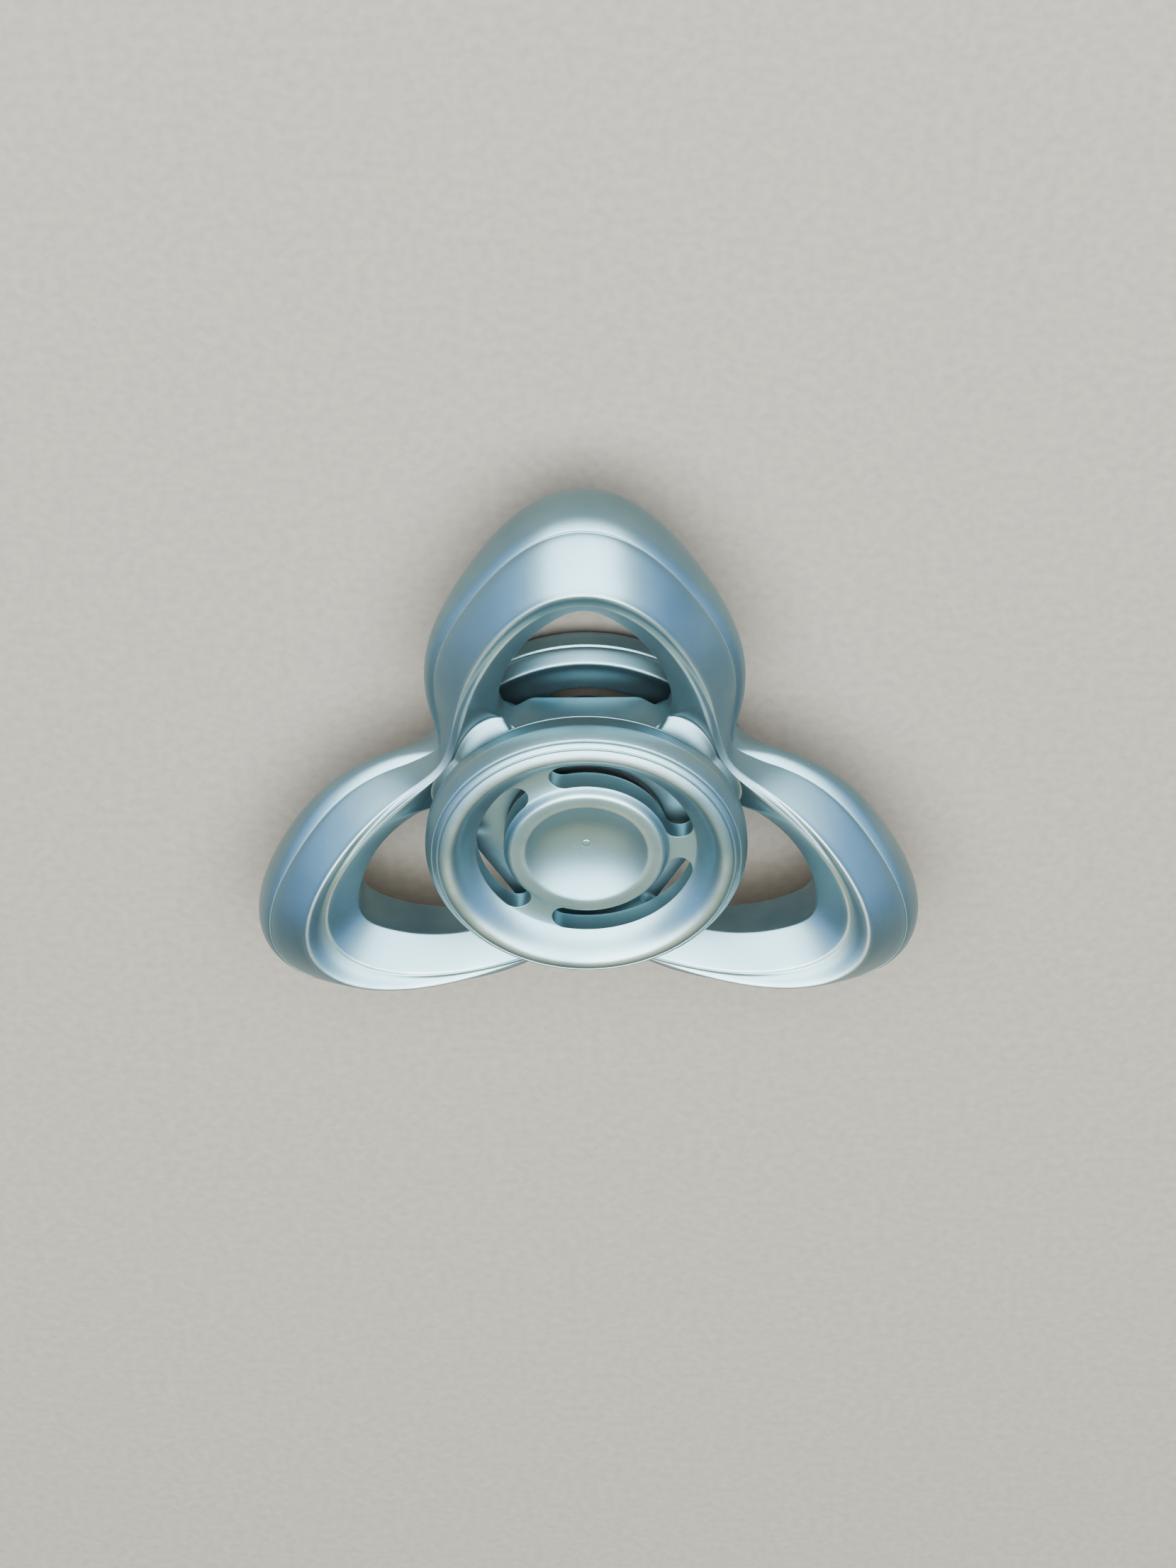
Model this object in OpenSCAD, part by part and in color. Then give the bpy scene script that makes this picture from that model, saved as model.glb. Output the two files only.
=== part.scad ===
// Three-lobed finger spinner: an open trefoil frame that turns on a small
// ball bearing between two round finger caps.
// Frame: origin at the centre of the bearing, +Z along the spin axis,
// +Y along the middle of the first lobe. Lengths in millimetres.

/* [Trefoil frame] */
// Radius of a lobe's tip from the spin axis
tip_r = 33.4; // [32:0.1:34]
// Radius of the outline at the neck between two lobes
neck_r = 14.9; // [14.7:0.1:15.2]
// Radius of the ridge at a lobe's tip
ridge_tip_r = 27.9; // [27.5:0.1:28.2]
// Radius of the ridge at a neck
ridge_neck_r = 14.45; // [14.3:0.05:14.5]
// Half height of the frame on the ridge at a lobe's tip
ridge_tip_z = 6.3; // [6:0.1:6.4]
// Half height of the frame on the ridge at a neck
ridge_neck_z = 3; // [2.8:0.1:3.1]
// Half height of the hub that holds the bearing
hub_half = 3; // [2.9:0.05:3.1]
// Radius of the hub's flat rim
hub_rim_r = 7.9; // [7.7:0.1:8.1]

/* [Lobe openings] */
// Distance from the spin axis to the opening's straight hub side
chord_y = 9.75; // [9.7:0.05:10]
// Distance from the spin axis to the opening's tip
opening_tip_y = 23.25; // [23.1:0.05:23.4]
// Corner radius at the opening's tip
tip_corner_r = 2.9; // [2.5:0.1:3.2]
// Corner radius at the hub side
hub_corner_r = 2.45; // [2.2:0.05:2.6]
// Sideways distance from the lobe's middle to a hub-side corner's centre
hub_corner_x = 5.05; // [4.9:0.05:5.1]
// Radius of the opening's bowed long sides
side_bow_r = 13; // [12.5:0.1:16]

/* [Bearing] */
// Bearing bore radius
bore_r = 3.175; // [3.175]
// Bearing outer radius
bearing_r = 6.35; // [6.35]
// Bearing width
bearing_w = 4.762; // [4.762]
// Number of balls
ball_count = 10; // [8:1:11]
// Ball radius
ball_r = 0.794; // [0.794]
// Radius of the circle through the ball centres
pitch_r = 4.7625; // [4.7625]
// Clearance between a ball and each race
ball_clearance = 0.02; // [0.015:0.005:0.03]

/* [Finger caps] */
// Radius of a cap's rim band
cap_r = 14; // [13.8:0.05:14.1]
// Height of a cap's resting land above the bearing centre
cap_top_z = 8.05; // [8:0.05:8.2]
// Radius of the middle of the resting land
land_r = 12; // [11.8:0.1:12.2]
// Radius of the finger dish
dish_r = 5.4; // [5.2:0.1:5.5]
// Depth of the finger dish
dish_depth = 1.5; // [1.2:0.1:1.6]
// Radius of the middle line of the curved slots
slot_r = 8.4; // [8.35:0.05:8.45]
// Width of the curved slots
slot_w = 2.4; // [2:0.1:2.5]
// Angle between the centres of a slot's two round ends
slot_sweep = 87; // [70:1:90]

/* [Hidden] */
LOBES = 3;
SLICES = 120;               // rays round the frame
BALLS = [for (k = [1:ball_count]) str("ball_", k)];

half_w = bearing_w / 2;     // half width of the bearing
nose_drop = 2;              // how far the crease lies inside the outline
crease_z = 3.5;             // height of the crease at a lobe's tip
crease_neck_z = 1.1;        // height of the crease at a neck
step_tip_r = 25.9;          // radius of the fine step inside the ridge, at a tip
step_tip_z = 4.9;           // height of the fine step at a tip
step_neck_r = 13.9;         // radius of the fine step at a neck
step_neck_z = 3.2;          // height of the fine step at a neck
floor_tip_r = 22.5;         // where the funnel inside the step would end at a tip
floor_neck_r = 11;          // the same on the arms between the openings
floor_z = 1.4;              // height there
floor_dip = 3;              // how much deeper the funnel runs beside the openings
foot_r = 10.2;              // foot of the slope that falls from the hub's rim
foot_z = 1.2;               // height of that foot on the arms
foot_rise = 1.6;            // how much higher it stands along the openings' straight sides
seat_r = 5.85;              // radius of the hole in the shoulder under the bearing
lock_r = 6.85;              // outer radius of the lock ring
shim = 0.3;                 // thickness of the spacers
stud_r = 2;                 // radius of the axle stud
stud_half = 4.3;            // half length of the axle stud
cap_back_z = 3.5;           // height of a cap's flat back
boss_r = 3.95;              // radius of the boss that presses on a spacer
groove_r = ball_r * 1.04;   // radius of the race grooves
shield_z = 1.85;            // height of a shield's inner face
shield_t = 0.2;             // thickness of a shield
shield_r = 5.75;            // outer radius of the shields and clips

// --- Trefoil frame ---

// 1 on a lobe's middle line and 0 at a neck, for the direction a
function lobe_weight(a) = (1 + cos(LOBES * (a - 90))) / 2;

// Radius that grows from the neck to the tip: a steady rise and a pointed end
function grow(neck, tip, point, power, w) =
    neck + (tip - neck - point) * w + point * pow(w, power);

// The outline has a tight valley at the neck, so it follows the root of w
function outline(w) =
    let (soft = 0.01, root = (sqrt(w + soft) - sqrt(soft)) / (sqrt(1 + soft) - sqrt(soft)))
    neck_r + (tip_r - neck_r - 4.6) * root + 4.6 * pow(w, 5);

function ridge(w) = grow(ridge_neck_r, ridge_tip_r, 3, 4.65, w);
function ridge_z(w) = ridge_neck_z + (ridge_tip_z - ridge_neck_z) * pow(w, 1.5);
function step_r(w) = grow(step_neck_r, step_tip_r, 2.6, 4.5, w);
function floor_r(w) = grow(floor_neck_r, floor_tip_r, 5.3, 4.1, w);

// One radial section of the upper half, from the outline in to the hub
function section(w) =
    let (
        out = outline(w), top = ridge(w), top_z = ridge_z(w),
        nose = min(nose_drop, (out - top) * 0.5),
        cz = crease_neck_z + (crease_z - crease_neck_z) * pow(w, 1.45),
        cr = out - nose,
        sr = step_r(w), sz = step_neck_z + (step_tip_z - step_neck_z) * w,
        fr = floor_r(w), fz = floor_z - floor_dip * w * (1 - w),
        foot = foot_z + foot_rise * min(1, max(0, (w - 0.43) / 0.15))
    ) concat(
        [for (t = [15:25:65]) [cr + nose * cos(t), cz * sin(t)]],
        [[cr, cz]],
        [for (t = [0.35, 0.7]) [cr + (top + 0.3 - cr) * t, cz + (top_z - 0.15 - cz) * t]],
        [[top + 0.3, top_z - 0.12], [top, top_z]],
        [[sr, sz]],
        [for (t = [0.33, 0.67, 1]) [sr + (fr - sr) * t, sz + (fz - sz) * t]],
        [[foot_r, foot], [hub_rim_r + 0.25, hub_half - 0.2], [hub_rim_r, hub_half]]
    );

// The whole section from top centre side round the outline to the bottom
function ring_of(w) =
    let (half = section(w), n = len(half))
    concat([for (i = [n - 1:-1:0]) half[i]], [[outline(w), 0]], [for (p = half) [p[0], -p[1]]]);

module trefoil_blank() {
    angles = [for (i = [0:SLICES - 1]) (i + 0.5) * 360 / SLICES];
    rings = [for (a = angles) ring_of(lobe_weight(a))];
    n = len(rings[0]);
    skin = [for (i = [0:SLICES - 1]) for (p = rings[i])
        [p[0] * cos(angles[i]), p[0] * sin(angles[i]), p[1]]];
    points = concat(skin, [[0, 0, hub_half], [0, 0, -hub_half]]);
    top = len(skin);
    faces = concat(
        [for (i = [0:SLICES - 1]) for (j = [0:n - 2]) let (k = (i + 1) % SLICES)
            [i * n + j, k * n + j, k * n + j + 1]],
        [for (i = [0:SLICES - 1]) for (j = [0:n - 2]) let (k = (i + 1) % SLICES)
            [i * n + j, k * n + j + 1, i * n + j + 1]],
        [for (i = [0:SLICES - 1]) [top, ((i + 1) % SLICES) * n, i * n]],
        [for (i = [0:SLICES - 1]) [top + 1, i * n + n - 1, ((i + 1) % SLICES) * n + n - 1]]
    );
    polyhedron(points, faces);
}

// Points on an arc about c, from angle a to b
function arc(c, r, a, b, steps) =
    [for (i = [0:steps]) let (t = a + (b - a) * i / steps) [c[0] + r * cos(t), c[1] + r * sin(t)]];

// Right half of an opening's outline: hub corner, bowed side, tip corner.
// The bow's centre is where arcs tangent to both corners meet.
function opening_half() =
    let (
        hub = [hub_corner_x, chord_y + hub_corner_r],
        tip = [0, opening_tip_y - tip_corner_r],
        a = side_bow_r - hub_corner_r, b = side_bow_r - tip_corner_r,
        span = norm(tip - hub), dir = (tip - hub) / span,
        along = (a * a - b * b + span * span) / (2 * span),
        away = sqrt(a * a - along * along),
        bow = hub + along * dir + away * [-dir[1], dir[0]],
        from_hub = atan2(hub[1] - bow[1], hub[0] - bow[0]),
        to_tip = atan2(tip[1] - bow[1], tip[0] - bow[0])
    ) concat(
        arc(hub, hub_corner_r, -90, from_hub, 8),
        arc(bow, side_bow_r, from_hub + 2, to_tip - 2, 6),
        arc(tip, tip_corner_r, to_tip, 90, 5)
    );

module opening() {
    right = opening_half();
    n = len(right);
    linear_extrude(height = 20, center = true)
        polygon(concat(right, [for (i = [n - 2:-1:0]) [-right[i][0], right[i][1]]]));
}

module trefoil_body() {
    color([0.40, 0.56, 0.64]) difference() {
        trefoil_blank();
        for (k = [0:LOBES - 1]) rotate(k * 360 / LOBES) opening();
        cylinder(r = seat_r, h = 20, center = true, $fn = 96);
        translate([0, 0, -half_w]) cylinder(r = bearing_r, h = 20, $fn = 96);
        translate([0, 0, half_w]) cylinder(r = lock_r, h = 20, $fn = 96);
    }
}

// --- Bearing ---

module ring(inner, outer, low, high) {
    rotate_extrude($fn = 96) translate([inner, low]) square([outer - inner, high - low]);
}

module bearing_lock_ring() {
    color("silver") difference() {
        ring(seat_r - 0.05, lock_r, half_w, hub_half);
        for (k = [0:3]) rotate(45 + 90 * k)
            translate([lock_r - 0.65, 0, hub_half]) cube([0.7, 0.9, 0.5], center = true);
    }
}

module bearing_outer_ring() {
    land = pitch_r + ball_r + ball_clearance - 0.25;
    race_shift = ball_r + ball_clearance - groove_r;
    color("lightsteelblue") difference() {
        ring(land, bearing_r, -half_w, half_w);
        rotate_extrude($fn = 96) translate([pitch_r + race_shift, 0]) circle(r = groove_r, $fn = 48);
        for (side = [0, 1]) mirror([0, 0, side]) ring(land - 0.1, shield_r, shield_z, half_w + 1);
    }
}

module bearing_inner_ring() {
    land = pitch_r - ball_r - ball_clearance + 0.25;
    race_shift = groove_r - ball_r - ball_clearance;
    color("lightsteelblue") difference() {
        ring(bore_r, land, -half_w, half_w);
        rotate_extrude($fn = 96) translate([pitch_r + race_shift, 0]) circle(r = groove_r, $fn = 48);
    }
}

module ball(k) {
    color("white") rotate(k * 360 / ball_count) translate([pitch_r, 0, 0]) sphere(r = ball_r, $fn = 48);
}

module ball_cage() {
    color("goldenrod") difference() {
        ring(pitch_r - 0.32, pitch_r + 0.32, -1.25, 0.65);
        for (k = [1:ball_count]) rotate(k * 360 / ball_count)
            translate([pitch_r, 0, 0]) sphere(r = ball_r + 0.04, $fn = 48);
    }
}

module shield() {
    ring(pitch_r - ball_r + 0.33, shield_r, shield_z, shield_z + shield_t);
}

module shield_clip() {
    difference() {
        ring(shield_r - 0.3, shield_r, shield_z + shield_t, shield_z + shield_t + 0.22);
        translate([shield_r, 0, shield_z]) cube([2, 0.8, 2], center = true);
    }
}

module upper_shield() { color("gainsboro") shield(); }
module lower_shield() { color("gainsboro") mirror([0, 0, 1]) shield(); }
module upper_shield_clip() { color("gray") shield_clip(); }
module lower_shield_clip() { color("gray") mirror([0, 0, 1]) shield_clip(); }

// --- Axle ---

module axle_sleeve() { color("silver") ring(stud_r, bore_r, -half_w - shim, half_w + shim); }
module axle_stud() { color("dimgray") cylinder(r = stud_r, h = 2 * stud_half, center = true, $fn = 64); }
module spacer() { ring(bore_r, boss_r, half_w, half_w + shim); }
module upper_spacer() { color("gold") spacer(); }
module lower_spacer() { color("gold") mirror([0, 0, 1]) spacer(); }

// --- Finger caps ---

// Half section of a cap, from the dish out over the rim and back under
function cap_section() =
    let (
        ring_z = cap_top_z - 1.3,
        sag = dish_depth, dish_ball = (dish_r * dish_r + sag * sag) / (2 * sag),
        dish_half = asin(dish_r / dish_ball),
        dish_c = [0, ring_z - sag + dish_ball]
    ) concat(
        [[0, ring_z - sag + 0.08], [0.32, ring_z - sag + 0.08], [0.42, ring_z - sag + 0.005]],
        arc(dish_c, dish_ball, -84, dish_half - 91.5, 6),
        [[dish_r + 0.35, ring_z + 0.05], [6.4, ring_z + 0.02], [6.75, ring_z - 0.12]],
        [[6.98, ring_z - 0.4], [7.15, ring_z - 0.62], [7.6, ring_z - 0.82]],
        [[8.4, ring_z - 0.9], [9.4, ring_z - 0.8], [10.2, ring_z - 0.25]],
        [[10.9, cap_top_z - 0.7], [11.4, cap_top_z - 0.2], [land_r - 0.2, cap_top_z]],
        [[land_r + 0.15, cap_top_z], [12.65, cap_top_z - 0.17], [12.8, cap_top_z - 0.33]],
        [[12.94, cap_top_z - 0.31], [13.3, cap_top_z - 0.67], [13.38, cap_top_z - 0.85]],
        [[13.5, cap_top_z - 0.9], [13.85, cap_top_z - 1.6], [cap_r, cap_top_z - 2.1]],
        [[cap_r, cap_top_z - 3.3], [13.05, cap_top_z - 4.5], [12.8, cap_top_z - 4.55]],
        [[12.1, cap_back_z + 0.8], [10.6, cap_back_z + 0.8], [10, cap_back_z]],
        [[boss_r + 0.5, cap_back_z], [boss_r, cap_back_z - 0.4], [boss_r, half_w + shim]],
        [[stud_r, half_w + shim], [stud_r, stud_half], [0, stud_half]]
    );

module curved_slot() {
    rotate_extrude(angle = slot_sweep, start = 60 - slot_sweep / 2, $fn = 96)
        translate([slot_r - slot_w / 2, 0]) square([slot_w, 12]);
    for (side = [-1, 1]) rotate(60 + side * slot_sweep / 2)
        translate([slot_r, 0, 0]) cylinder(r = slot_w / 2, h = 12, $fn = 48);
}

module cap() {
    difference() {
        rotate_extrude($fn = 96) polygon(cap_section());
        for (k = [0:2]) rotate(k * 120) curved_slot();
    }
}

module upper_cap() { color([0.45, 0.60, 0.66]) cap(); }
module lower_cap() { color([0.45, 0.60, 0.66]) mirror([0, 0, 1]) cap(); }

trefoil_body();
bearing_lock_ring();
bearing_outer_ring();
bearing_inner_ring();
ball_cage();
upper_shield();
lower_shield();
upper_shield_clip();
lower_shield_clip();
axle_sleeve();
axle_stud();
upper_spacer();
lower_spacer();
upper_cap();
lower_cap();
for (k = [1:ball_count])
    ball(k);
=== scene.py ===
import math

import bmesh
import bpy
from mathutils import Matrix, Vector


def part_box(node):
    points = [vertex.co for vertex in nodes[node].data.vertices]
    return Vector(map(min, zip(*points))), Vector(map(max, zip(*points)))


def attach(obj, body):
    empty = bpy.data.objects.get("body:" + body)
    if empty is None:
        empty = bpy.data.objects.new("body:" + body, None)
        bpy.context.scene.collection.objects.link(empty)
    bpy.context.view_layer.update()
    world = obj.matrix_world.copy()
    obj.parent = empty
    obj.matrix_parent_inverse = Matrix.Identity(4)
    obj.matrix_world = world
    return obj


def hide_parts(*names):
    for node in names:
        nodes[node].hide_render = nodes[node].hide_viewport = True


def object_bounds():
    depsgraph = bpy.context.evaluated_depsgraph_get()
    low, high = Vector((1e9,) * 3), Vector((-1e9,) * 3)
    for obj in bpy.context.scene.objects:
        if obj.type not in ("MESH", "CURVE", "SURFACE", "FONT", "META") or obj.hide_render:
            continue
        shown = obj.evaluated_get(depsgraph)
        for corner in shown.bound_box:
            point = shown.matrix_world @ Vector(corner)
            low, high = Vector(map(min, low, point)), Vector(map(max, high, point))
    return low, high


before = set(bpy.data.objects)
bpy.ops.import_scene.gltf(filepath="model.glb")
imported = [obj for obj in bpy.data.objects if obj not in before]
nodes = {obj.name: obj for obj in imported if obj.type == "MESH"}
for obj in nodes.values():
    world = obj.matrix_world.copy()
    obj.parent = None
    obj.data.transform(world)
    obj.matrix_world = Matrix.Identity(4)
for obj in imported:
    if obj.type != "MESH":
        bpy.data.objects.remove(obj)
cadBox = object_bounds()
mm = 0.001


# Camera: a long lens above the first lobe, with that lobe at the top of the picture

view = {
    "elevation": 48.79,       # degrees above the table
    "turn": 0.896,            # degrees round from the first lobe's axis
    "roll": -0.835,
    "distance": 305.7,
    "target": (0.14, 2.19, 0),
    "lens": 80.07,
}


def makeCamera():
    elevation, turn, roll = (math.radians(view[name]) for name in ("elevation", "turn", "roll"))
    back = Vector((math.sin(turn) * math.cos(elevation), math.cos(turn) * math.cos(elevation),
                   math.sin(elevation)))
    side = (-back).cross(Vector((0, 1, 0))).normalized()
    up = side.cross(-back)
    right = math.cos(roll) * side + math.sin(roll) * up
    above = math.cos(roll) * up - math.sin(roll) * side
    data = bpy.data.cameras.new("camera")
    data.lens = view["lens"]
    data.clip_start = 0.01
    camera = bpy.data.objects.new("camera", data)
    camera.matrix_world = Matrix((right, above, back)).transposed().to_4x4()
    camera.location = (Vector(view["target"]) + back * view["distance"]) * mm
    bpy.context.scene.collection.objects.link(camera)
    bpy.context.scene.camera = camera


makeCamera()
print("camera placed")


# Materials

def linearColour(hexColour):
    # sRGB hex to the linear values that the shader takes
    shares = [int(hexColour[k:k + 2], 16) / 255 for k in (1, 3, 5)]
    return [s / 12.92 if s <= 0.04045 else ((s + 0.055) / 1.055) ** 2.4 for s in shares] + [1]


def addNode(tree, kind, values=None, links=None, **settings):
    node = tree.nodes.new(kind)
    for name, value in settings.items():
        setattr(node, name, value)
    for socket, value in (values or {}).items():
        node.inputs[socket].default_value = value
    for socket, source in (links or {}).items():
        tree.links.new(source, node.inputs[socket])
    return node


def setRamp(ramp, stops):
    elements = ramp.color_ramp.elements
    while len(elements) < len(stops):
        elements.new(1)
    for element, (position, colour) in zip(elements, stops):
        element.position = position
        element.color = colour


def startMaterial(name, roughness, metallic=1.0):
    material = bpy.data.materials.new(name)
    material.use_nodes = True
    tree = material.node_tree
    shader = tree.nodes["Principled BSDF"]
    shader.inputs["Metallic"].default_value = metallic
    shader.inputs["Roughness"].default_value = roughness
    return material, tree, shader


satin = {
    "colour": "#728b90",      # steel under a thin blue-green vapour coating
    "shade": "#637e86",       # where the coating is a little thicker
    "wornAndHighlight": "#a9b9ba",        # steel showing through along handled edges, and a painted highlight along the crests
    "roughness": (0.36, 0.45),
    "blastGrain": 0.16,       # dents left by the beads, drawn twice their real size
    "cloud": 9,               # size of the soft patches in the tint
    "glintSpots": 1.1,             # spacing of the painted glints, pale flecks that stand for sparkle
    # colour of the painted glints
    "paintedGlint": "#dfe6e4",
    "relief": 0.012,
}


def tintedSatinSteel():
    # bead-blasted steel with a vapour coating: soft wide highlights, painted glints as a fine even sparkle
    # of pale flecks, faint clouds in the tint, and bare bright metal along the edges that is partly a
    # painted highlight on the crests
    material, tree, shader = startMaterial("tintedSatinSteel", 0.31)
    place = addNode(tree, "ShaderNodeTexCoord").outputs["Object"]
    cloud = addNode(tree, "ShaderNodeTexNoise", {"Scale": 1 / (satin["cloud"] * mm), "Detail": 3},
                    {"Vector": place})
    tint = addNode(tree, "ShaderNodeValToRGB", links={"Fac": cloud.outputs["Fac"]})
    setRamp(tint, [(0.35, linearColour(satin["shade"])), (0.65, linearColour(satin["colour"]))])
    grain = addNode(tree, "ShaderNodeTexNoise",
                    {"Scale": 1 / (satin["blastGrain"] * mm), "Detail": 2, "Roughness": 0.6},
                    {"Vector": place})
    wearAndHighlightMask = addNode(tree, "ShaderNodeAttribute", attribute_name="edgeWearAndHighlight")
    patchy = addNode(tree, "ShaderNodeMapRange", {"From Min": 0.35, "From Max": 0.65},
                     {"Value": cloud.outputs["Fac"]})
    # wear on the crests and edges, partly a painted highlight there, taken in the patches of the tint
    rubbedAndHighlighted = addNode(tree, "ShaderNodeMath", links={0: wearAndHighlightMask.outputs["Fac"], 1: patchy.outputs[0]},
                     operation="MULTIPLY")
    wornAndHighlight = addNode(tree, "ShaderNodeMix", {"B": linearColour(satin["wornAndHighlight"])},
                   {"A": tint.outputs["Color"], "Factor": rubbedAndHighlighted.outputs[0]}, data_type="RGBA")
    # painted glints: pale flecks mixed into the colour as sparkle
    dots = addNode(tree, "ShaderNodeTexVoronoi", {"Scale": 1 / (satin["glintSpots"] * mm)},
                   {"Vector": place})
    glintSpots = addNode(tree, "ShaderNodeMapRange",
                    {"From Min": 0.03, "From Max": 0.055, "To Min": 0.35, "To Max": 0},
                    {"Value": dots.outputs["Distance"]})
    glinted = addNode(tree, "ShaderNodeMix", {"B": linearColour(satin["paintedGlint"])},
                      {"A": wornAndHighlight.outputs["Result"], "Factor": glintSpots.outputs[0]}, data_type="RGBA")
    rough = addNode(tree, "ShaderNodeMapRange",
                    {"To Min": satin["roughness"][0], "To Max": satin["roughness"][1]},
                    {"Value": grain.outputs["Fac"]})
    bump = addNode(tree, "ShaderNodeBump", {"Strength": 0.25, "Distance": satin["relief"] * mm},
                   {"Height": grain.outputs["Fac"]})
    tree.links.new(glinted.outputs["Result"], shader.inputs["Base Color"])
    tree.links.new(rough.outputs[0], shader.inputs["Roughness"])
    tree.links.new(bump.outputs["Normal"], shader.inputs["Normal"])
    return material


def turnedMetal(name, colour, shade, roughness, lineWidth):
    # metal with the rings that a lathe or a grinding wheel leaves about the spin axis
    material, tree, shader = startMaterial(name, roughness)
    place = addNode(tree, "ShaderNodeTexCoord").outputs["Object"]
    parts = addNode(tree, "ShaderNodeSeparateXYZ", links={"Vector": place})
    flat = addNode(tree, "ShaderNodeCombineXYZ",
                   links={"X": parts.outputs["X"], "Y": parts.outputs["Y"]})
    radius = addNode(tree, "ShaderNodeVectorMath", links={0: flat.outputs[0]}, operation="LENGTH")
    across = addNode(tree, "ShaderNodeCombineXYZ",
                     links={"X": radius.outputs["Value"], "Z": parts.outputs["Z"]})
    lines = addNode(tree, "ShaderNodeTexNoise", {"Scale": 1 / (lineWidth * mm), "Detail": 2},
                    {"Vector": across.outputs[0]})
    tint = addNode(tree, "ShaderNodeValToRGB", links={"Fac": lines.outputs["Fac"]})
    setRamp(tint, [(0.3, linearColour(shade)), (0.7, linearColour(colour))])
    rough = addNode(tree, "ShaderNodeMapRange",
                    {"To Min": roughness * 0.8, "To Max": roughness * 1.25},
                    {"Value": lines.outputs["Fac"]})
    bump = addNode(tree, "ShaderNodeBump", {"Strength": 0.3, "Distance": 0.004 * mm},
                   {"Height": lines.outputs["Fac"]})
    tree.links.new(tint.outputs["Color"], shader.inputs["Base Color"])
    tree.links.new(rough.outputs[0], shader.inputs["Roughness"])
    tree.links.new(bump.outputs["Normal"], shader.inputs["Normal"])
    return material


def rolledSheet(name, colour, stain, roughness):
    # thin pressed sheet: a fine random grain and a faint film of old oil
    material, tree, shader = startMaterial(name, roughness)
    place = addNode(tree, "ShaderNodeTexCoord").outputs["Object"]
    film = addNode(tree, "ShaderNodeTexNoise", {"Scale": 1 / (1.4 * mm), "Detail": 4},
                   {"Vector": place})
    tint = addNode(tree, "ShaderNodeValToRGB", links={"Fac": film.outputs["Fac"]})
    setRamp(tint, [(0.4, linearColour(stain)), (0.6, linearColour(colour))])
    grain = addNode(tree, "ShaderNodeTexNoise", {"Scale": 1 / (0.12 * mm), "Detail": 2},
                    {"Vector": place})
    rough = addNode(tree, "ShaderNodeMapRange",
                    {"To Min": roughness * 0.8, "To Max": roughness * 1.2},
                    {"Value": film.outputs["Fac"]})
    bump = addNode(tree, "ShaderNodeBump", {"Strength": 0.25, "Distance": 0.004 * mm},
                   {"Height": grain.outputs["Fac"]})
    tree.links.new(tint.outputs["Color"], shader.inputs["Base Color"])
    tree.links.new(rough.outputs[0], shader.inputs["Roughness"])
    tree.links.new(bump.outputs["Normal"], shader.inputs["Normal"])
    return material


satinSteel = tintedSatinSteel()
bearingSteel = turnedMetal("groundBearingSteel", "#cfd2d4", "#b4b8bb", 0.2, 0.12)
turnedSteel = turnedMetal("turnedStainless", "#c4c6c6", "#a9acad", 0.28, 0.18)
springSteel = turnedMetal("blackenedSpringSteel", "#6d7073", "#55585b", 0.34, 0.15)
ballSteel = turnedMetal("lappedChromeSteel", "#dfe1e3", "#d2d5d8", 0.07, 0.3)
cageSteel = rolledSheet("pressedCageSteel", "#b9b4a6", "#8f8a7a", 0.34)
shieldSteel = rolledSheet("pressedShieldSteel", "#c6c8c8", "#a3a5a4", 0.3)
print("materials made")

finishes = {
    "bearing_outer_ring": bearingSteel, "bearing_inner_ring": bearingSteel,
    "bearing_lock_ring": turnedSteel, "axle_sleeve": turnedSteel,
    "upper_spacer": turnedSteel, "lower_spacer": turnedSteel,
    "upper_shield": shieldSteel, "lower_shield": shieldSteel,
    "upper_shield_clip": springSteel, "lower_shield_clip": springSteel,
    "axle_stud": springSteel, "ball_cage": cageSteel,
}
for name, node in nodes.items():
    if name in ("trefoil_body", "upper_cap", "lower_cap"):
        continue
    node.data.materials.clear()
    node.data.materials.append(finishes.get(name, ballSteel))


# Shared modelling steps

def smoothStep(value):
    share = min(1, max(0, value))
    return share * share * (3 - 2 * share)


def blend(start, end, share):
    return start + (end - start) * share


def spunSheet(bm, stations, sectionAt):
    # A strip is spun a full turn, then each of its rings is set on its own rail.
    # sectionAt gives the points of one station, with the wear and painted highlight at each.
    existing = set(bm.verts)
    spine = [bm.verts.new((1 + k, 0, 0)) for k in range(len(sectionAt(0)))]
    strip = [bm.edges.new(pair) for pair in zip(spine, spine[1:])]
    bmesh.ops.spin(bm, geom=spine + strip, cent=(0, 0, 0), axis=(0, 0, 1),
                   angle=2 * math.pi, steps=stations, use_merge=True)
    wearAndHighlightMask = bm.verts.layers.float["edgeWearAndHighlight"]
    sections = [sectionAt(station) for station in range(stations)]
    for vert in set(bm.verts) - existing:
        turn = math.atan2(vert.co.y, vert.co.x) / (2 * math.pi)
        ring = round(math.hypot(vert.co.x, vert.co.y)) - 1
        point, wornAndHighlight = sections[round(turn * stations) % stations][ring]
        vert.co = point
        vert[wearAndHighlightMask] = wornAndHighlight


def finishPiece(bm, name, replaced, body):
    bmesh.ops.recalc_face_normals(bm, faces=bm.faces)
    bmesh.ops.scale(bm, vec=(mm, mm, mm), verts=bm.verts)
    for face in bm.faces:
        face.smooth = True
    gaps = sum(not edge.is_manifold for edge in bm.edges)
    print(name, len(bm.faces), "faces,", gaps, "open edges")
    mesh = bpy.data.meshes.new(name)
    bm.to_mesh(mesh)
    bm.free()
    mesh.materials.append(satinSteel)
    piece = bpy.data.objects.new(name, mesh)
    bpy.context.scene.collection.objects.link(piece)
    smooth = piece.modifiers.new("smooth", "SUBSURF")
    smooth.levels = smooth.render_levels = 1
    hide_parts(replaced)
    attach(piece, body)
    return piece


# Trefoil frame

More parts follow.
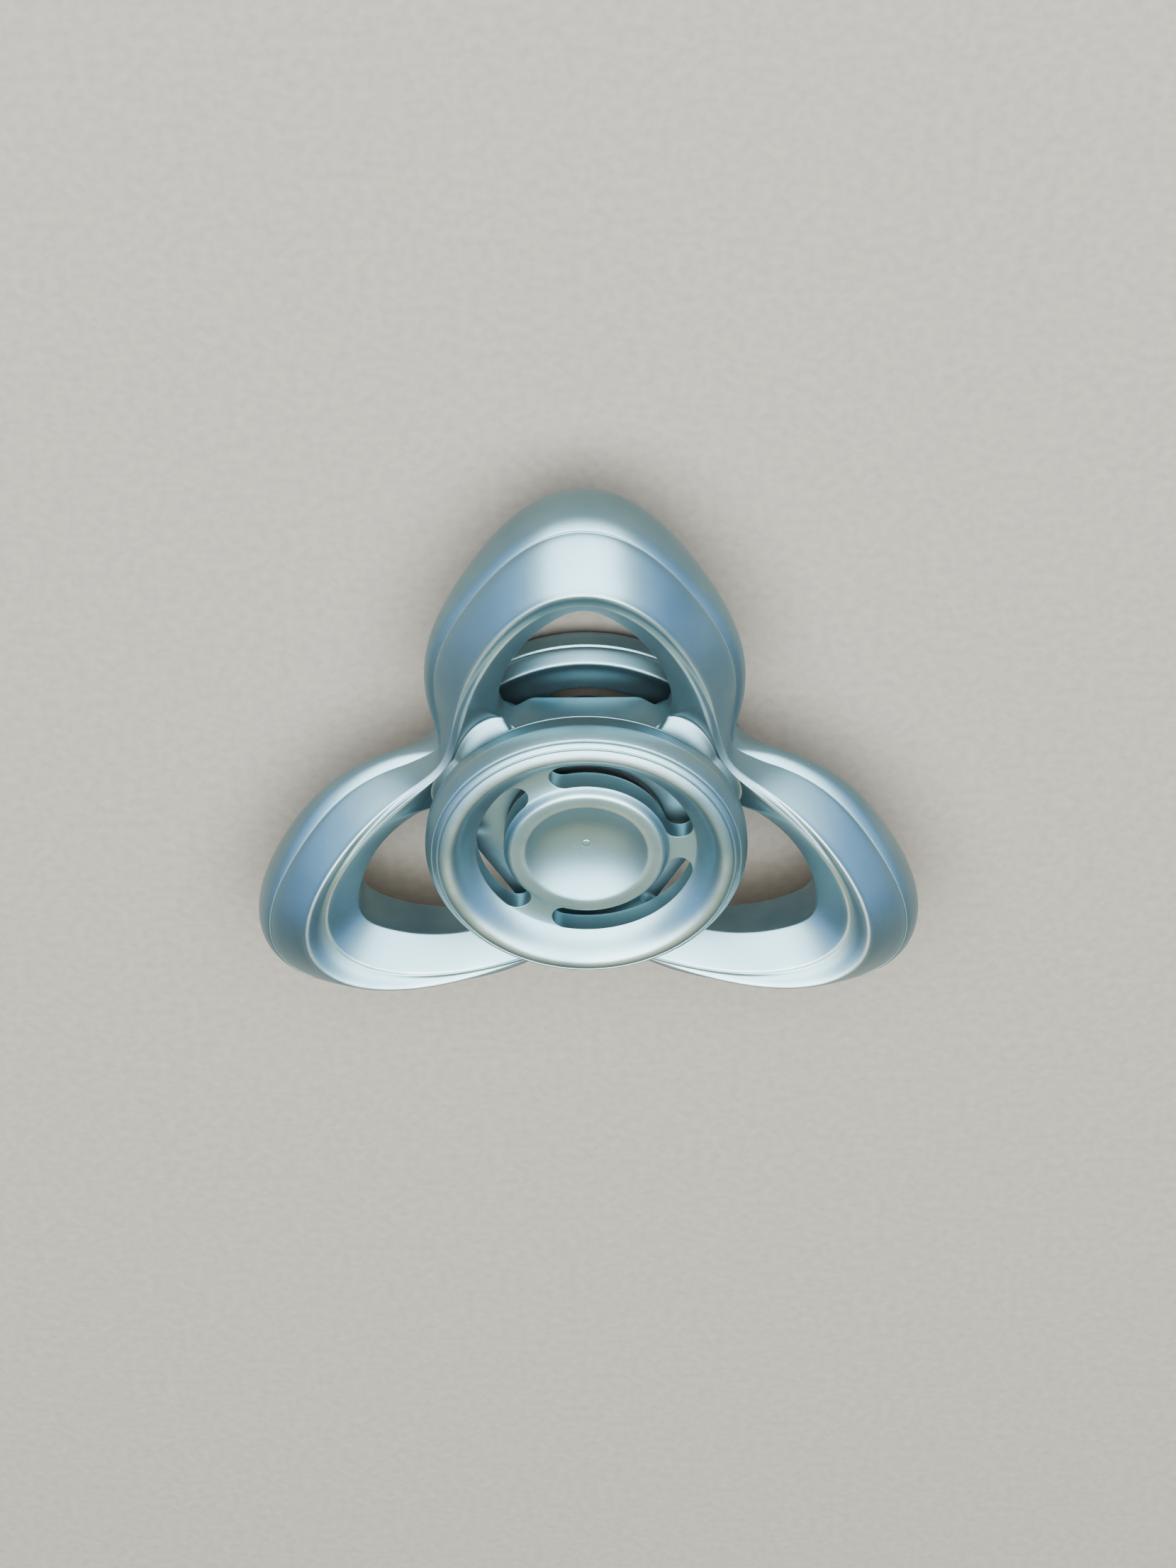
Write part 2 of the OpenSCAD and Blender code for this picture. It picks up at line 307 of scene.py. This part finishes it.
trefoil = {
    "stations": 216,          # rays round the frame, a multiple of six
    "openingStations": 20,    # rays from a lobe's middle to the side of its opening
    "tipR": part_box("trefoil_body")[1].y / mm + 0.05,
    "neckR": 14.9,
    "noseDrop": 1.3,          # from the outline in to the crease
    "creaseTipZ": 2.85, "creaseNeckZ": 1.0, "creaseStep": 0.06,
    "noseTurn": 57,           # degrees of the nose's ellipse up to the crease
    "ridgeTipR": 27.9, "ridgeNeckR": 14.45,
    "ridgeTipZ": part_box("trefoil_body")[1].z / mm, "ridgeNeckZ": 3.0,
    "ledgeTipR": 25.9, "ledgeNeckR": 13.9, "ledgeTipZ": 4.9, "ledgeNeckZ": 3.2,
    "ledgeWidth": 0.34,       # the narrow flat between the ridge and the funnel
    # how far the outline, the ridge and the ledge are drawn out at a lobe's tip, and how sharply
    "outlinePoint": (4.6, 5), "ridgePoint": (3, 4.65), "ledgePoint": (2.6, 4.5),
    "neckSoft": 0.01,         # rounds the outline at the necks
    "edgeZ": 1.74, "edgeTilt": 0.08,      # opening's edge: height at 18 mm out, and its slope
    "armR": 13.2, "armZ": 1.6, "armBow": 0.8,    # bottom of the hollow on an arm, under the cap
    "hubFlatR": 7.9, "hubZ": 3.0, "chordZ": 2.85,
    "hubFall": 2.4,           # the hub's slope is steepest at the openings' corners
    "edgeRound": 0.11,
    "boreEdge": 0.05,
}
wallReach = trefoil["openingStations"] * 6 / trefoil["stations"]    # share of a lobe with a wall
opening = {
    "chordY": 9.75, "tipY": 23.25, "tipCornerR": 2.9,
    "hubCornerR": 2.45, "hubCornerX": 5.05, "bowR": 13.0,
}


def arcPiece(centre, radius, start, end):
    def placeAt(share):
        angle = blend(start, end, share)
        return Vector((centre.x + radius * math.cos(angle), centre.y + radius * math.sin(angle)))
    return radius * abs(end - start), placeAt


def alongPath(pieces, share):
    left = share * sum(length for length, _ in pieces)
    for length, placeAt in pieces:
        if left <= length:
            return placeAt(left / length)
        left -= length
    return pieces[-1][1](1)


def openingPaths():
    # The outline's far half runs from the tip and its near half from the straight side's
    # middle. Both end where a ray from the spin axis just touches the hub-side corner.
    corner = Vector((opening["hubCornerX"], opening["chordY"] + opening["hubCornerR"]))
    tip = Vector((0, opening["tipY"] - opening["tipCornerR"]))
    cornerReach = opening["bowR"] - opening["hubCornerR"]
    tipReach = opening["bowR"] - opening["tipCornerR"]
    span = (tip - corner).length
    along = (cornerReach ** 2 - tipReach ** 2 + span ** 2) / (2 * span)
    away = math.sqrt(cornerReach ** 2 - along ** 2)
    direction = (tip - corner) / span
    bow = corner + direction * along + Vector((-direction.y, direction.x)) * away
    fromCorner = math.atan2(corner.y - bow.y, corner.x - bow.x)
    toTip = math.atan2(tip.y - bow.y, tip.x - bow.x)
    touch = math.atan2(corner.y, corner.x) - math.pi + math.acos(opening["hubCornerR"] / corner.length)
    middle = Vector((0, opening["chordY"]))
    chord = opening["hubCornerX"], lambda share: middle + Vector((opening["hubCornerX"] * share, 0))
    near = [chord, arcPiece(corner, opening["hubCornerR"], -math.pi / 2, touch)]
    far = [arcPiece(tip, opening["tipCornerR"], math.pi / 2, toTip),
           arcPiece(bow, opening["bowR"], toTip, fromCorner),
           arcPiece(corner, opening["hubCornerR"], fromCorner, touch)]
    return far, near


farSide, nearSide = openingPaths()
touchPoint = alongPath(farSide, 1)
touchAngle = math.atan2(touchPoint.x, touchPoint.y)


def grow(neck, tip, drawnOut, weight):
    # a rail's radius: a smooth swell from neck to tip, drawn out further near the tip
    point, power = drawnOut
    return neck + (tip - neck - point) * weight + point * weight ** power


def stationPlace(station):
    # a lobe's axis angle, and how far round from it the ray is: -1 to 1, neck to neck
    angle = 360 * station / trefoil["stations"]
    offset = (angle - 90 + 60) % 120 - 60
    return math.radians(angle - offset), offset / 60


def inLobe(axis, side, along, height):
    return Vector((along * math.cos(axis) - side * math.sin(axis),
                   along * math.sin(axis) + side * math.cos(axis), height))


def openingEdgeZ(along):
    return trefoil["edgeZ"] + trefoil["edgeTilt"] * (along - 18)


def crossingPoint(share):
    # the hollow's bottom on an arm, from the opening's corner to the neck's ray
    angle = blend(touchAngle, math.pi / 3, share)
    bow = trefoil["armBow"] * math.sin(math.pi * share ** 0.7)
    radius = blend(touchPoint.length, trefoil["armR"], share) + bow
    height = blend(openingEdgeZ(touchPoint.y), trefoil["armZ"], smoothStep(share))
    return radius * math.sin(angle), radius * math.cos(angle), height


def edgePoint(offset, path):
    # a point of the loop that follows an opening's edge and then crosses the arm
    sign = math.copysign(1, offset)
    if abs(offset) > wallReach:
        side, along, height = crossingPoint((abs(offset) - wallReach) / (1 - wallReach))
        return sign * side, along, height
    share = abs(offset) / wallReach
    point = alongPath(path, share)
    height = openingEdgeZ(point.y)
    if path is nearSide:
        height = blend(trefoil["chordZ"], openingEdgeZ(touchPoint.y), smoothStep((share - 0.6) / 0.3))
    return sign * point.x, point.y, height


def supportShare(offset, start, end):
    # the last ring lies close to an opening's edge, to keep it crisp, and loosens on the arms
    tight = 1 - trefoil["edgeRound"] / (end - start).length
    return blend(tight, 0.94, smoothStep((abs(offset) - wallReach) / 0.12))


def outerSection(station):
    # upper half of the loop, from the outline over the ridge and down to the opening's edge
    axis, offset = stationPlace(station)
    weight = (1 + math.cos(math.pi * offset)) / 2
    soft = trefoil["neckSoft"]
    point, power = trefoil["outlinePoint"]
    root = (math.sqrt(weight + soft) - math.sqrt(soft)) / (math.sqrt(1 + soft) - math.sqrt(soft))
    outline = (trefoil["neckR"] + (trefoil["tipR"] - trefoil["neckR"] - point) * root
               + point * weight ** power)
    ridgeR = grow(trefoil["ridgeNeckR"], trefoil["ridgeTipR"], trefoil["ridgePoint"], weight)
    ridgeZ = blend(trefoil["ridgeNeckZ"], trefoil["ridgeTipZ"], weight ** 1.5)
    nose = min(trefoil["noseDrop"], (outline - ridgeR) * 0.5)
    creaseZ = blend(trefoil["creaseNeckZ"], trefoil["creaseTipZ"], weight ** 1.45)
    creaseR = outline - nose
    step = trefoil["creaseStep"] * smoothStep((weight - 0.15) / 0.5)
    ledgeR = grow(trefoil["ledgeNeckR"], trefoil["ledgeTipR"], trefoil["ledgePoint"], weight)
    ledgeZ = blend(trefoil["ledgeNeckZ"], trefoil["ledgeTipZ"], weight)
    ledge = trefoil["ledgeWidth"] * smoothStep(weight / 0.3)
    run, rise = ridgeR - creaseR, ridgeZ - creaseZ
    full = smoothStep(weight * 1.6)     # fine steps fade out towards the necks
    rings = []
    last = math.radians(trefoil["noseTurn"])
    for share in (0, 0.15, 0.3, 0.45, 0.6, 0.75, 0.9, 0.97):
        # the nose rises upright, then leans in evenly towards the crease
        rings.append((outline - nose * (1 - math.cos(last * share)) / (1 - math.cos(last)),
                      creaseZ * math.sin(last * share) / math.sin(last), 0))
    rings += [(creaseR, creaseZ, 0), (creaseR - 0.04 * full, creaseZ - step, 0),
              (creaseR - 0.13 * full, creaseZ - step * 0.5, 0),
              (creaseR - 0.2 * full, creaseZ + 0.13 * full, 0)]
    for share in (0.14, 0.3, 0.5, 0.7, 0.84, 0.92):
        bulge = 0.12 * full * math.sin(math.pi * share)
        rings.append((creaseR + run * share, creaseZ + rise * share + bulge, 0))
    # the third values are wear along the ridge crest, partly a painted highlight
    rings += [(ridgeR + 0.16 * full, ridgeZ - 0.02, 0.6), (ridgeR - 0.12 * full, ridgeZ - 0.06, 0.8),
              (ridgeR - 0.34 * full, ridgeZ - 0.22 * full, 0.5)]
    for share in (0.3, 0.55, 0.8):
        sag = 0.16 * full * math.sin(math.pi * share)
        rings.append((blend(ridgeR - 0.34 * full, ledgeR + ledge / 2, share),
                      blend(ridgeZ - 0.22 * full, ledgeZ + 0.05, share) - sag, 0))
    # the ledge's wear values are partly a painted highlight along it
    rings += [(ledgeR + ledge * 0.6, ledgeZ + 0.06, 0.3), (ledgeR + ledge * 0.4, ledgeZ, 0.6),
              (ledgeR - ledge * 0.4, ledgeZ - 0.03, 0.9), (ledgeR - ledge * 0.6, ledgeZ - 0.14 * full, 0.3)]
    turn = math.radians(60 * offset)
    section = [(inLobe(axis, r * math.sin(turn), r * math.cos(turn), z), wornAndHighlight) for r, z, wornAndHighlight in rings]
    start = section[-1][0]
    end = inLobe(axis, *edgePoint(offset, farSide))
    # the opening's edge gets wear that is partly a painted highlight
    for share in (0.12, 0.3, 0.5, 0.7, 0.85, supportShare(offset, start, end), 1):
        section.append((start.lerp(end, share), 0.3 if share == 1 else 0))
    return section


def hubSection(station):
    # from the flat rim round the bearing out to the openings' straight sides and the arms
    axis, offset = stationPlace(station)
    turn = math.radians(60 * offset)
    end = inLobe(axis, *edgePoint(offset, nearSide))
    section = []
    for radius in (7.0, 7.3, trefoil["hubFlatR"]):
        section.append((inLobe(axis, radius * math.sin(turn), radius * math.cos(turn),
                               trefoil["hubZ"]), 0))
    start = section[-1][0]
    for share in (0.15, 0.35, 0.55, 0.75, 0.87, supportShare(offset, start, end), 1):
        point = start.lerp(end, share)
        point.z = blend(start.z, end.z, share ** trefoil["hubFall"])
        section.append((point, 0.5 if share == 1 else 0))
    return section


def boreSection(station):
    # the bearing's seat, with its shoulder below and the lock ring's recess above
    axis, offset = stationPlace(station)
    turn = math.radians(60 * offset)
    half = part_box("bearing_outer_ring")[1].z / mm
    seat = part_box("bearing_outer_ring")[1].x / mm
    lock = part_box("bearing_lock_ring")[1].x / mm
    shoulder, hub, edge = seat - 0.5, trefoil["hubZ"], trefoil["boreEdge"]
    profile = [(7.0, hub), (lock + edge, hub - 0.02), (lock, hub - 0.1), (lock, half + edge), (lock, half),
               (seat, half), (seat, half - edge), (seat, edge - half), (seat, -half), (shoulder, -half),
               (shoulder, 0.1 - hub), (shoulder + edge, 0.02 - hub), (6.4, -hub), (7.0, -hub)]
    return [(inLobe(axis, r * math.sin(turn), r * math.cos(turn), z), 0) for r, z in profile]


def makeTrefoil():
    bm = bmesh.new()
    bm.verts.layers.float.new("edgeWearAndHighlight")
    spunSheet(bm, trefoil["stations"], outerSection)
    spunSheet(bm, trefoil["stations"], hubSection)
    bmesh.ops.remove_doubles(bm, verts=bm.verts, dist=0.001)
    # the openings' upright walls, down to the middle plane
    edges = [edge for edge in bm.edges if edge.is_boundary
             and all(vert.co.z > 0.5 and vert.co.xy.length > 8.5 for vert in edge.verts)]
    for depth in (trefoil["edgeRound"], None):
        made = bmesh.ops.extrude_edge_only(bm, edges=edges)["geom"]
        edges = [item for item in made if isinstance(item, bmesh.types.BMEdge) and item.is_boundary]
        for vert in {vert for edge in edges for vert in edge.verts}:
            vert.co.z = vert.co.z - depth if depth else 0
    everything = bm.verts[:] + bm.edges[:] + bm.faces[:]
    bmesh.ops.mirror(bm, geom=everything, axis="Z", merge_dist=0.001)
    spunSheet(bm, trefoil["stations"], boreSection)
    bmesh.ops.remove_doubles(bm, verts=bm.verts, dist=0.001)
    return finishPiece(bm, "trefoilFrame", "trefoil_body", "spinner")


makeTrefoil()


# Finger caps

cap = {
    "stations": 240,          # steps of one and a half degrees
    "topZ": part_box("upper_cap")[1].z / mm,
    "rimR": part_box("upper_cap")[1].x / mm,
    "backZ": 4.2,             # back of the plate that the slots go through
    "bossR": 3.95, "bossZ": 2.682,      # boss that rests on the spacer
    "studR": 2.0, "studZ": 4.3,         # hole for the stud
    "slotR": 8.4, "slotWidth": 2.4, "webHalf": 16.5,     # degrees from a web's middle to a slot's end
    "slotRows": 8,
    "dishR": 5.4, "dishDepth": 1.5, "ringZ": 6.77, "valleyZ": 5.9,
    "slotRound": 0.09,
}


def slotRadii():
    # rings across the slots' width, closer together at its sides
    rows = cap["slotRows"]
    return [cap["slotR"] - cap["slotWidth"] / 2 * math.cos(math.pi * row / rows)
            for row in range(rows + 1)]


def capProfile():
    # (radius, height, wear and painted highlight) from the middle of the dish out over the rim and back
    # under
    ring, top, rim, back = cap["ringZ"], cap["topZ"], cap["rimR"], cap["backZ"]
    edge, depth = cap["dishR"], cap["dishDepth"]
    boss, foot, stud, deep = cap["bossR"], cap["bossZ"], cap["studR"], cap["studZ"]
    ball = (edge ** 2 + depth ** 2) / (2 * depth)
    dish = [(r, ring - depth + ball - math.sqrt(ball ** 2 - r ** 2), 0)
            for r in (0.62, 1.2, 1.9, 2.6, 3.3, 4.0, 4.6, 5.1, 5.3)]
    low = ring - depth
    nub = [(0, low + 0.04, 0), (0.18, low + 0.04, 0), (0.29, low + 0.035, 0), (0.34, low + 0.01, 0),
           (0.38, low - 0.01, 0), (0.44, low + 0.01, 0)]
    collar = [(5.42, ring - 0.03, 0.5), (5.52, ring, 0.4), (5.9, ring + 0.01, 0), (6.3, ring + 0.01, 0),
              (6.58, ring - 0.01, 0.4), (6.72, ring - 0.08, 0.5), (6.84, ring - 0.24, 0.2),
              (6.96, ring - 0.44, 0), (7.08, ring - 0.6, 0)]
    valley = [(r, cap["valleyZ"] + 0.16 * ((r - cap["slotR"]) / (cap["slotWidth"] / 2)) ** 2, 0)
              for r in slotRadii()]
    bank = [(9.8, top - 1.86, 0), (10.15, top - 1.6, 0), (10.55, top - 1.18, 0), (10.9, top - 0.75, 0),
            (11.2, top - 0.42, 0), (11.5, top - 0.18, 0.2), (11.8, top - 0.04, 0.6), (12.0, top, 0.8),
            (12.2, top - 0.02, 0.7), (12.45, top - 0.08, 0.3), (12.68, top - 0.17, 0)]
    grooves = [(12.78, top - 0.22, 0), (12.79, top - 0.34, 0), (12.87, top - 0.4, 0), (12.93, top - 0.31, 0),
               (12.98, top - 0.34, 0), (13.2, top - 0.52, 0), (13.31, top - 0.63, 0), (13.3, top - 0.75, 0),
               (13.37, top - 0.84, 0), (13.43, top - 0.76, 0), (13.48, top - 0.83, 0)]
    band = [(13.68, top - 1.16, 0), (13.85, top - 1.55, 0), (13.96, top - 1.9, 0), (rim, top - 2.08, 0.3),
            (rim, top - 2.2, 0), (rim, top - 2.7, 0), (rim, top - 3.16, 0), (rim - 0.03, top - 3.22, 0),
            (rim - 0.22, top - 3.25, 0), (rim - 0.24, top - 3.4, 0), (rim - 0.09, top - 3.44, 0)]
    under = [(13.8, 4.38, 0), (13.35, 3.85, 0), (13.12, 3.57, 0), (13.02, 3.48, 0.8), (12.9, 3.46, 0.8),
             (12.8, 3.5, 0.3), (12.55, 3.72, 0), (12.2, 3.95, 0), (11.75, 4.12, 0), (11.2, 4.2, 0),
             (10.6, back + 0.02, 0), (10.1, back + 0.02, 0), (9.8, back, 0)]
    flatBack = [(r, back, 0) for r in reversed(slotRadii())]
    middle = [(6.8, back, 0), (5.5, back, 0), (4.8, back, 0), (4.25, back - 0.15, 0),
              (4.02, back - 0.4, 0), (boss, 3.4, 0), (boss, 2.78, 0), (boss - 0.02, 2.7, 0.2),
              (boss - 0.1, foot, 0.2), (3.0, foot, 0), (stud + 0.05, foot, 0), (stud, 2.73, 0),
              (stud, 3.2, 0), (stud, deep - 0.05, 0), (stud - 0.05, deep, 0), (1.0, deep, 0), (0, deep, 0)]
    return nub + dish + collar + valley + bank + grooves + band + under + flatBack + middle


def webOffset(point):
    # how far round the point is from the middle of its web
    web = math.tau / 3
    return (math.atan2(point.y, point.x) + web / 2) % web - web / 2


def inSlot(point):
    clearOfWeb = abs(webOffset(point)) > math.radians(cap["webHalf"])
    return clearOfWeb and abs(point.xy.length - cap["slotR"]) < cap["slotWidth"] / 2


def turnToWeb(vert):
    # a web narrows towards the middle of the slots' width, so each slot ends in a half circle
    radius, middle, half = vert.co.xy.length, cap["slotR"], cap["slotWidth"] / 2
    reach = math.acos(min(1, (radius ** 2 + middle ** 2 - half ** 2) / (2 * radius * middle)))
    turn = -webOffset(vert.co) * reach / math.radians(cap["webHalf"])
    vert.co = Matrix.Rotation(turn, 3, "Z") @ vert.co


def makeCap(name, replaced, flip):
    bm = bmesh.new()
    bm.verts.layers.float.new("edgeWearAndHighlight")
    profile = capProfile()
    slots = slotRadii()

    def section(station):
        turn = math.tau * station / cap["stations"]
        return [(Vector((radius * math.cos(turn), radius * math.sin(turn), height)), wornAndHighlight)
                for radius, height, wornAndHighlight in profile]

    spunSheet(bm, cap["stations"], section)
    bmesh.ops.remove_doubles(bm, verts=bm.verts, dist=0.001)
    holes = [face for face in bm.faces if inSlot(face.calc_center_median())]
    bmesh.ops.delete(bm, geom=holes, context="FACES")
    for vert in bm.verts:
        if slots[0] + 0.001 < vert.co.xy.length < slots[-1] - 0.001:
            turnToWeb(vert)
    rims = [edge for edge in bm.edges if edge.is_boundary]
    for heading in (60, 180, 300):
        # a slot's upper and lower rims are joined by its wall
        toSlot = Vector((math.cos(math.radians(heading)), math.sin(math.radians(heading))))
        pair = [edge for edge in rims
                if (edge.verts[0].co + edge.verts[1].co).xy.normalized().dot(toSlot) > 0.5]
        bmesh.ops.bridge_loops(bm, edges=pair)
    bmesh.ops.bevel(bm, geom=rims, offset=cap["slotRound"], segments=2, profile=0.5,
                    affect="EDGES", material=-1, clamp_overlap=True)
    if flip:
        bmesh.ops.scale(bm, vec=(1, 1, -1), verts=bm.verts)
    return finishPiece(bm, name, replaced, "grip")


makeCap("upperFingerCap", "upper_cap", False)
makeCap("lowerFingerCap", "lower_cap", True)


# Floor and lights

studio = {
    "floorSize": 6.0,
    "floorColour": "#675f55", "floorShade": "#5e564e",
    "world": ("#a9b4ba", 0.16),
}
# name, place, size, power and colour: each panel faces the spinner
panels = [
    ("ceilingSoftbox", (0.0, 0.27, 0.6), (1.2, 0.9), 66.0, "#f1fcff"),
    ("leftWindow", (-0.75, 0.05, 0.3), (0.6, 0.4), 2.8, "#5f9fe0"),
    ("rightWindow", (0.75, 0.05, 0.3), (0.6, 0.4), 2.8, "#5f9fe0"),
    ("warmWall", (0.0, -0.6, 0.5), (0.8, 0.4), 2.8, "#d8c48f"),
]


def makeFloor():
    bm = bmesh.new()
    bmesh.ops.create_grid(bm, x_segments=8, y_segments=8, size=studio["floorSize"] / 2)
    bmesh.ops.translate(bm, vec=(0, 0, cadBox[0].z), verts=bm.verts)
    mesh = bpy.data.meshes.new("floor")
    bm.to_mesh(mesh)
    bm.free()
    material, tree, shader = startMaterial("paleCard", 0.75, 0.0)
    place = addNode(tree, "ShaderNodeTexCoord").outputs["Object"]
    fibre = addNode(tree, "ShaderNodeTexNoise", {"Scale": 1 / (0.9 * mm), "Detail": 4}, {"Vector": place})
    tint = addNode(tree, "ShaderNodeValToRGB", links={"Fac": fibre.outputs["Fac"]})
    setRamp(tint, [(0.3, linearColour(studio["floorShade"])), (0.7, linearColour(studio["floorColour"]))])
    tree.links.new(tint.outputs["Color"], shader.inputs["Base Color"])
    mesh.materials.append(material)
    floor = bpy.data.objects.new("floor", mesh)
    bpy.context.scene.collection.objects.link(floor)


def makeLights():
    for name, place, size, power, colour in panels:
        data = bpy.data.lights.new(name, "AREA")
        data.shape = "RECTANGLE"
        data.size, data.size_y = size
        data.energy = power
        data.color = linearColour(colour)[:3]
        light = bpy.data.objects.new(name, data)
        light.location = place
        light.rotation_euler = Vector(place).to_track_quat("Z", "Y").to_euler()
        bpy.context.scene.collection.objects.link(light)
    world = bpy.data.worlds.new("studio")
    world.use_nodes = True
    background = world.node_tree.nodes["Background"]
    background.inputs["Color"].default_value = linearColour(studio["world"][0])
    background.inputs["Strength"].default_value = studio["world"][1]
    bpy.context.scene.world = world


makeFloor()
makeLights()
print("floor and lights placed")
